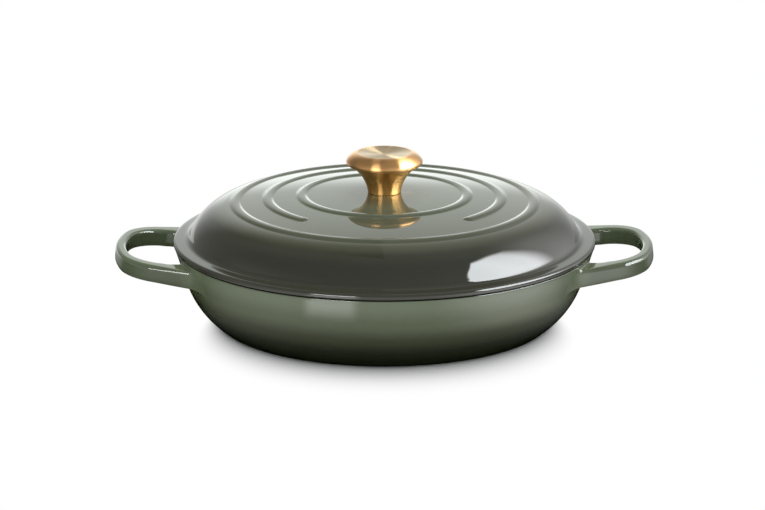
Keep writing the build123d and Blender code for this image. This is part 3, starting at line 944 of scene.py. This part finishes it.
# %% [markdown]
# ## Enamel
# Enamel is coloured glass on iron: matt pigment under a clear, very smooth surface. One glossy
# shader would look like plastic, so a clear coat lies over a soft base. Firing leaves a faint
# ripple in it, which shows only where something bright is mirrored.

# %% Enamel surface
sage = (0.121, 0.142, 0.090)
sage_light = (0.185, 0.230, 0.133)
bottle_black = (0.028, 0.036, 0.018)
olive_dark = (0.039, 0.040, 0.027)
sand = (0.640, 0.545, 0.385)
rim_black = (0.016, 0.016, 0.015)
coat_gloss, rim_coat_loss = 0.035, 0.85
body_gloss, rim_dulling = 0.45, 0.2
wave_cells, wave_stretch, wave_height = 80, (1, 1, 2.4), 0.16 * mm      # cells in one metre
pit_cells, pit_height = 420, 0.010 * mm


def fired_ripple(finish):
    """Two scales of ripple in the glass: slow waves, and finer pitting."""
    waves = finish.bump(finish.noise(wave_cells, 1.0, wave_stretch), wave_height)
    return finish.bump(finish.noise(pit_cells, 2.0), pit_height, Normal=waves)


def mottled(finish, colour):
    """Pigment is never even: a slow drift, level streaks and fine specks, a few percent of it."""
    drift = finish.noise(38, 3.0, (1, 1, 1.6))
    specks = finish.noise(900, 1.0)
    streaks = finish.noise(130, 2.0, (1, 1, 3.5))
    return finish.shade(colour, 0.86 + 0.11 * drift + 0.07 * specks + 0.10 * streaks)


def glazed(finish, colour, sanded, dark, blur):
    """Pigmented depth under a clear coat. Between the two places sanded on the profile it is the
    lining, and elsewhere between the two places dark it is matt and black, with hardly any coat."""
    place = finish.add("ShaderNodeAttribute", {"attribute_name": "place"}, out="Fac")
    lining = finish.band(place, *sanded, blur)
    rim = finish.band(place, *dark, blur) * (1 - lining)
    colour = finish.mix(lining, mottled(finish, colour), sand)
    return finish.close(
        Base_Color=finish.mix(rim, colour, rim_black),
        Roughness=body_gloss + rim_dulling * rim,
        Coat_Weight=1 - rim_coat_loss * rim,
        Coat_Roughness=coat_gloss,
        Specular_IOR_Level=0.0,
        Normal=fired_ripple(finish),
    )


print("the coat's roughness is", coat_gloss)

# %% Pan enamel
rim_start, rim_end, pan_end = 4.45, 5.55, len(pan_pieces)    # places on the pan's profile
rim_blur = 0.05
# painted shade: the share by which the handles' colour is made darker
painted_handle_shade = 0.28
pan_stops = [
    (0.08, bottle_black),
    (0.24, (0.027, 0.033, 0.014)),
    (0.42, (0.052, 0.065, 0.027)),
    (0.66, (0.120, 0.153, 0.070)),
    (0.92, sage_light),
]


def pan_enamel():
    """Sage below the rim that runs into near black at the foot, sand inside, a dark matt rim."""
    f = Finish("pan_enamel")
    height = f.place()[2] / pan_height + 0.05 * (f.noise(22, 2.0) - 0.5)
    tone = f.add("ShaderNodeValToRGB", {"stops": pan_stops}, {0: height})
    # painted shade on the handles: their colour is made darker than the rest of the enamel
    on_handle = f.step(f.radius(), pan_rim_radius, pan_rim_radius + 10 * mm)
    tone = f.shade(tone, 1 - painted_handle_shade * on_handle)
    return glazed(f, tone, (rim_end, pan_end), (rim_start, pan_end), rim_blur)


pan_finish = pan_enamel()
for piece in (pan_bowl, handle_right, handle_left):
    dress(piece, pan_finish)
print("pan enamel has", len(pan_finish.node_tree.nodes), "nodes")

# %% Lid enamel
lid_sand, lid_dark = (9.3, 13.3), (5.5, 14.4)       # places on the lid's profile
lid_blur = 0.1
lid_stops = [
    (0.0, sage),
    (0.16, (0.107, 0.119, 0.076)),
    (0.24, (0.092, 0.096, 0.062)),
    (0.36, (0.046, 0.048, 0.030)),
    (0.50, olive_dark),
    (0.80, (0.052, 0.053, 0.036)),
]


def lid_enamel():
    """Sage crown that darkens over the shoulder to olive, sand inside, a dark matt lip."""
    f = Finish("lid_enamel")
    depth = (apex_height - f.place()[2]) / (apex_height - pan_height)
    depth = depth + 0.03 * (f.noise(22, 2.0) - 0.5)
    tone = f.add("ShaderNodeValToRGB", {"stops": lid_stops}, {0: depth})
    return glazed(f, tone, lid_sand, lid_dark, lid_blur)


lid_finish = lid_enamel()
dress(lid_shell, lid_finish)
print("lid enamel has", len(lid_finish.node_tree.nodes), "nodes")

# %% [markdown]
# ## Turned brass
# A lathe leaves fine grooves round the axis, so a lamp is mirrored as a streak across them. The
# shader's anisotropy gives that streak, and a quarter turn lays it across the grooves. A faint
# ripple along the profile shows single grooves close up.

# %% Knob metal
brass_warm = (0.725, 0.405, 0.162)
brass_stem = (0.790, 0.450, 0.150)
brass_pale = (0.530, 0.405, 0.240)
brass_groove_cells, brass_groove_depth = 2600.0, 0.004 * mm
dish_edge = (0.6 * mm, 0.4 * mm)     # under the dish's lowest point
crest_edge = (1.0 * mm, 0.2 * mm)    # inside the crest


def lathe_noise(f, scale, detail):
    """Noise of the distance from the axis and the height alone, as a lathe leaves it."""
    point = f.add("ShaderNodeCombineXYZ", sockets={0: f.radius(), 1: f.place()[2], 2: 0.0})
    return f.noise_at(point, scale, detail)


def turned_brass(name, colour, roughness, streak):
    """Warm brass with grooves that follow the lathe, and a paler dish on top."""
    f = Finish(name)
    grooves = lathe_noise(f, brass_groove_cells, 3.0)
    smear = f.noise(60, 3.0)
    colour = f.shade(colour, 0.86 + 0.17 * lathe_noise(f, 500.0, 2.0) + 0.11 * smear)
    on_top = f.step(f.place()[2], *(dish_height - depth for depth in dish_edge))
    in_dish = f.fade(f.radius(), *(cap_crest[0] - inset for inset in crest_edge))
    return f.close(
        Base_Color=f.mix(on_top * in_dish, colour, brass_pale),
        Metallic=1.0,
        Roughness=roughness - 0.03 + 0.05 * grooves + 0.03 * smear,
        Anisotropic=streak,
        Anisotropic_Rotation=0.25,
        Normal=f.bump(grooves, brass_groove_depth),
    )


dress(knob_cap, turned_brass("cap_brass", brass_warm, 0.29, 1.0))
dress(knob_stem, turned_brass("stem_brass", brass_stem, 0.27, 1.0))
dress(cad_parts["knob_insert"], turned_brass("bush_brass", brass_warm, 0.32, 0.4))
print("brass on cap, stem and bush")

# %% Steel of the screw and washers
steel_dull = (0.50, 0.50, 0.49)
steel_bright = (0.62, 0.62, 0.60)
steel_groove_cells, steel_groove_depth = 1800.0, 0.006 * mm


def turned_steel(name):
    """Plain stainless steel, turned or stamped: grooves round the axis and a few dull smears."""
    f = Finish(name)
    grooves = lathe_noise(f, steel_groove_cells, 2.0)
    smear = f.noise(220, 3.0)
    return f.close(
        Base_Color=f.mix(smear, steel_dull, steel_bright),
        Metallic=1.0,
        Roughness=0.27 + 0.12 * grooves + 0.08 * smear,
        Normal=f.bump(grooves, steel_groove_depth),
    )


steel = turned_steel("stainless_steel")
for node in ("knob_screw", "flat_washer", "spring_washer"):
    dress(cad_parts[node], steel)
print("steel on the screw and both washers")

# %% [markdown]
# ## Floor
# The pot stands on a seamless pale sweep that shows its soft shadow and is pure white further
# out. So the floor is a diffuse surface that, for the camera, fades into even white. Mirror rays
# see a brightness of their own on it, because that is what the enamel shows.

# %% Sheets for the stage
stage_columns = 96


def round_sheet(name, radius, height):
    """Open sheet: a profile (radius, height) carried round the axis, its first ring filled."""
    points = turned(np.stack([radius, height], axis=1), all_round(stage_columns)).reshape(-1, 3)
    number = np.arange(len(points)).reshape(-1, stage_columns)
    after = np.roll(number, -1, axis=1)
    quads = np.stack([number[:-1], number[1:], after[1:], after[:-1]], axis=2).reshape(-1, 4)
    return new_piece(name, points, quads.tolist() + [number[0].tolist()])


print("a sheet has", stage_columns, "columns")

# %% The floor in the enamel
# A row is a light's strength, its edges on the left and on the right in degrees round the pot,
# and its inner and its outer edge in metres from the axis. None stands for no edge.
table_lights = {
    "front": (1.25, (-95, -35), (45, 105), (0.125, 0.200), None),
    "lamp": (2.6, (-32, -27), (-14, -9), (0.176, 0.194), None),
    "glow": (1.5, (14, 42), (44, 85), (0.150, 0.200), None),
    "back_left": (1.1, None, (-140, -100), (0.24, 0.40), None),
    "back_right": (0.44, (92, 115), None, (0.24, 0.40), None),
    "back_middle": (0.66, (145, 170), None, (0.24, 0.40), None),
}


def patches(f, turn, other, lights):
    """Sum of the lights, each its strength times a step or a fade at each of its edges."""
    total = 0.0
    for strength, left, right, low, high in lights.values():
        patch = strength
        for value, rising, falling in ((turn, left, right), (other, low, high)):
            patch = patch * f.step(value, *rising) if rising else patch
            patch = patch * f.fade(value, *falling) if falling else patch
        total = patch + total
    return total


print("the table mirrors", len(table_lights), "patches of light")

# %% Floor
floor_radius = 4.0
floor_rings = 24
floor_grey = (0.86, 0.86, 0.86, 1)
white = (1, 1, 1)
shadow_start, shadow_behind, shadow_more_in_front = 122 * mm, 10 * mm, 62 * mm
shadow_turn_power, shadow_fade_power = 1.3, 1.7


def out_of_shadow(f):
    """0 in the pot's shadow and 1 out of it. Its width grows from behind to in front with a
    power of the turn's cosine, and across it the shadow thins out as a power of 1 - t."""
    reach = f.radius()
    forward = ((0 - f.place()[1]) / reach).math("MAXIMUM", 0.0)
    width = shadow_behind + shadow_more_in_front * forward ** shadow_turn_power
    share = ((reach - shadow_start) / width).math("MAXIMUM", 0.0).math("MINIMUM", 1.0)
    return 1 - (1 - share) ** shadow_fade_power


def floor_finish():
    """Pale grey. Away from the pot the camera sees its own white light, so the table runs into
    the background, and mirror rays see the table's lights."""
    f = Finish("pale_sweep")
    mirror_ray = f.ray("Glossy")
    plain_ray = f.ray("Camera").math("MAXIMUM", f.ray("Transmission"))
    own_light = (plain_ray * out_of_shadow(f)).math("MAXIMUM", mirror_ray)
    strength = plain_ray + mirror_ray * patches(f, f.turn(), f.radius(), table_lights)
    diffuse = f.add("ShaderNodeBsdfDiffuse", sockets={"Color": floor_grey})
    return f.end(f.blend(own_light, diffuse, f.light(white, strength)))


floor_reach = floor_radius * np.linspace(0, 1, floor_rings)[1:] ** 2
floor = round_sheet("floor", floor_reach, 0 * floor_reach)
dress(floor, floor_finish())
floor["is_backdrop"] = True
print("floor radius", floor_radius, "m")

# %% [markdown]
# ## Light
# A broad softbox overhead gives most of the light, and the world adds an even fill. The camera
# and mirror rays see a white world and no softbox, because what the enamel mirrors comes later.

# %% World
fill_colour, fill_strength = (0.96, 0.98, 1.0), 0.42

sky = Finish("studio", bpy.data.worlds)
bpy.context.scene.world = sky.made
seen = sky.ray("Camera").math("MAXIMUM", sky.ray("Glossy")).math("MAXIMUM", sky.ray("Transmission"))
fill = sky.light(fill_colour, fill_strength, "Background")
sky.end(sky.blend(seen, fill, sky.light(white, 1.0, "Background")), "World")
print("world fill", fill_strength)

# %% Softbox
box_place, box_target = Vector((0, 0.35, 1.9)), Vector((0, 0, 0.06))
box_size = (2.0, 1.6)
box_watts = 22

box_light = bpy.data.lights.new("overhead", "AREA")
box_light.shape = "RECTANGLE"
box_light.size, box_light.size_y = box_size
box_light.energy = box_watts
softbox = in_scene("overhead", box_light)
softbox.location = box_place
softbox.rotation_euler = (box_target - box_place).to_track_quat("-Z", "Y").to_euler()
softbox.visible_glossy = False
softbox.visible_camera = False
print("softbox brightness", round(box_watts / (np.pi * box_size[0] * box_size[1]), 2))

# %% [markdown]
# ## What the enamel mirrors
# Glossy enamel shows the studio round it: a white background, dim cloth in front and overhead,
# and one large soft window on the right. A tent carries all of that as one formula of the
# direction, seen by mirror rays alone, so it can be tuned without changing the light on the pot.

# %% Studio tent
# Edges are in degrees, here: on the left and the right as before, then of the rise from the table.
tent_radius = 3.5
cloth_grey, cloth_slope = 0.38, 0.14
cloth_dips = {"left": (0.6, None, (-150, -120), (15, 40), None)}
tent_backs = {
    "left": (0.50, None, (-160, -140), None, (20, 60)),
    "far_left": (0.84, None, (-172, -152), None, (20, 60)),
    "right": (0.35, (120, 140), None, None, (20, 60)),
    "far_right": (0.99, (150, 176), None, None, (20, 60)),
}
tent_lights = {
    "skirt": (0.8, (-115, -75), (100, 135), None, (0, 42)),
    "glow": (1.3, (60, 110), (118, 150), None, (35, 60)),
    "lamp": (14.0, (-42, -38), (-18, -14), (10, 14), (26, 30)),
    "low_left": (1.1, None, (-176, -164), None, (7, 14.5)),
    "low_right": (1.1, (164, 176), None, None, (7, 14.5)),
}
window_strength, window_left, window_right = 16.0, (51.0, 53.4), (99, 117)
window_bottom, window_top = (10, 14), (52.5, 57)
window_lean, lean_start, window_crest, crest_start = 0.036, 30, 2, 50
window_dim, dim_share = (75, 108), 0.33
back_tint, window_tint = (0.95, 1.0, 0.97), (0.93, 0.975, 1.0)


def tent_window(f, turn, rise):
    """The window: its left edge leans as the square of the rise above lean_start, its right edge
    runs in above crest_start, and it is dimmer towards the right."""
    above = (rise - lean_start).math("MAXIMUM", 0.0)
    crest = (rise - crest_start).math("MAXIMUM", 0.0)
    return (
        f.step(turn - window_lean * above * above, *window_left)
        * f.fade(turn + window_crest * crest, *window_right)
        * f.step(rise, *window_bottom)
        * f.fade(rise, *window_top)
        * (1 - dim_share * f.step(turn, *window_dim))
    )


def tent_finish():
    """Brightness by direction: cloth all round, over it a white back, then the window and the
    other lights."""
    f = Finish("studio_tent")
    x, _, z = f.place()
    turn = f.turn()
    rise = (z / tent_radius).math("ARCSINE") * float(np.degrees(1))
    cloth = cloth_grey + cloth_slope * (x / tent_radius)
    cloth = cloth * (1 - patches(f, turn, rise, cloth_dips))
    back = patches(f, turn, rise, tent_backs)
    window = tent_window(f, turn, rise)
    strength = cloth + (1 - cloth) * back + window_strength * window
    strength = strength + patches(f, turn, rise, tent_lights)
    colour = f.mix(window, f.mix(back * 0.6, white, back_tint), window_tint)
    f.made.cycles.emission_sampling = "NONE"
    return f.end(f.light(colour, strength))


tent_top, tent_foot, tent_rings = np.pi / 2 - 0.01, -0.02, 32
tent_rise = np.linspace(tent_top, tent_foot, tent_rings)
tent = round_sheet("studio_tent", tent_radius * np.cos(tent_rise), tent_radius * np.sin(tent_rise))
dress(tent, tent_finish())
for ray in ("camera", "diffuse", "transmission", "shadow"):
    setattr(tent, f"visible_{ray}", False)
tent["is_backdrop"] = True
print("tent radius", tent_radius, "m")

# %% [markdown]
# ## Colour and the last checks
# The Standard view shows colours as they are written. The boxes of the construction model and
# of the dressed pieces are kept side by side, because dressing must not change the size.

# %% Finish
bpy.context.scene.view_settings.view_transform = "Standard"
low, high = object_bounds()
past = [*(a - b for a, b in zip(cad_low, low)), *(b - a for a, b in zip(cad_high, high))]
print("past the CAD box by, mm:", [round(max(way, 0) / mm, 3) for way in past])
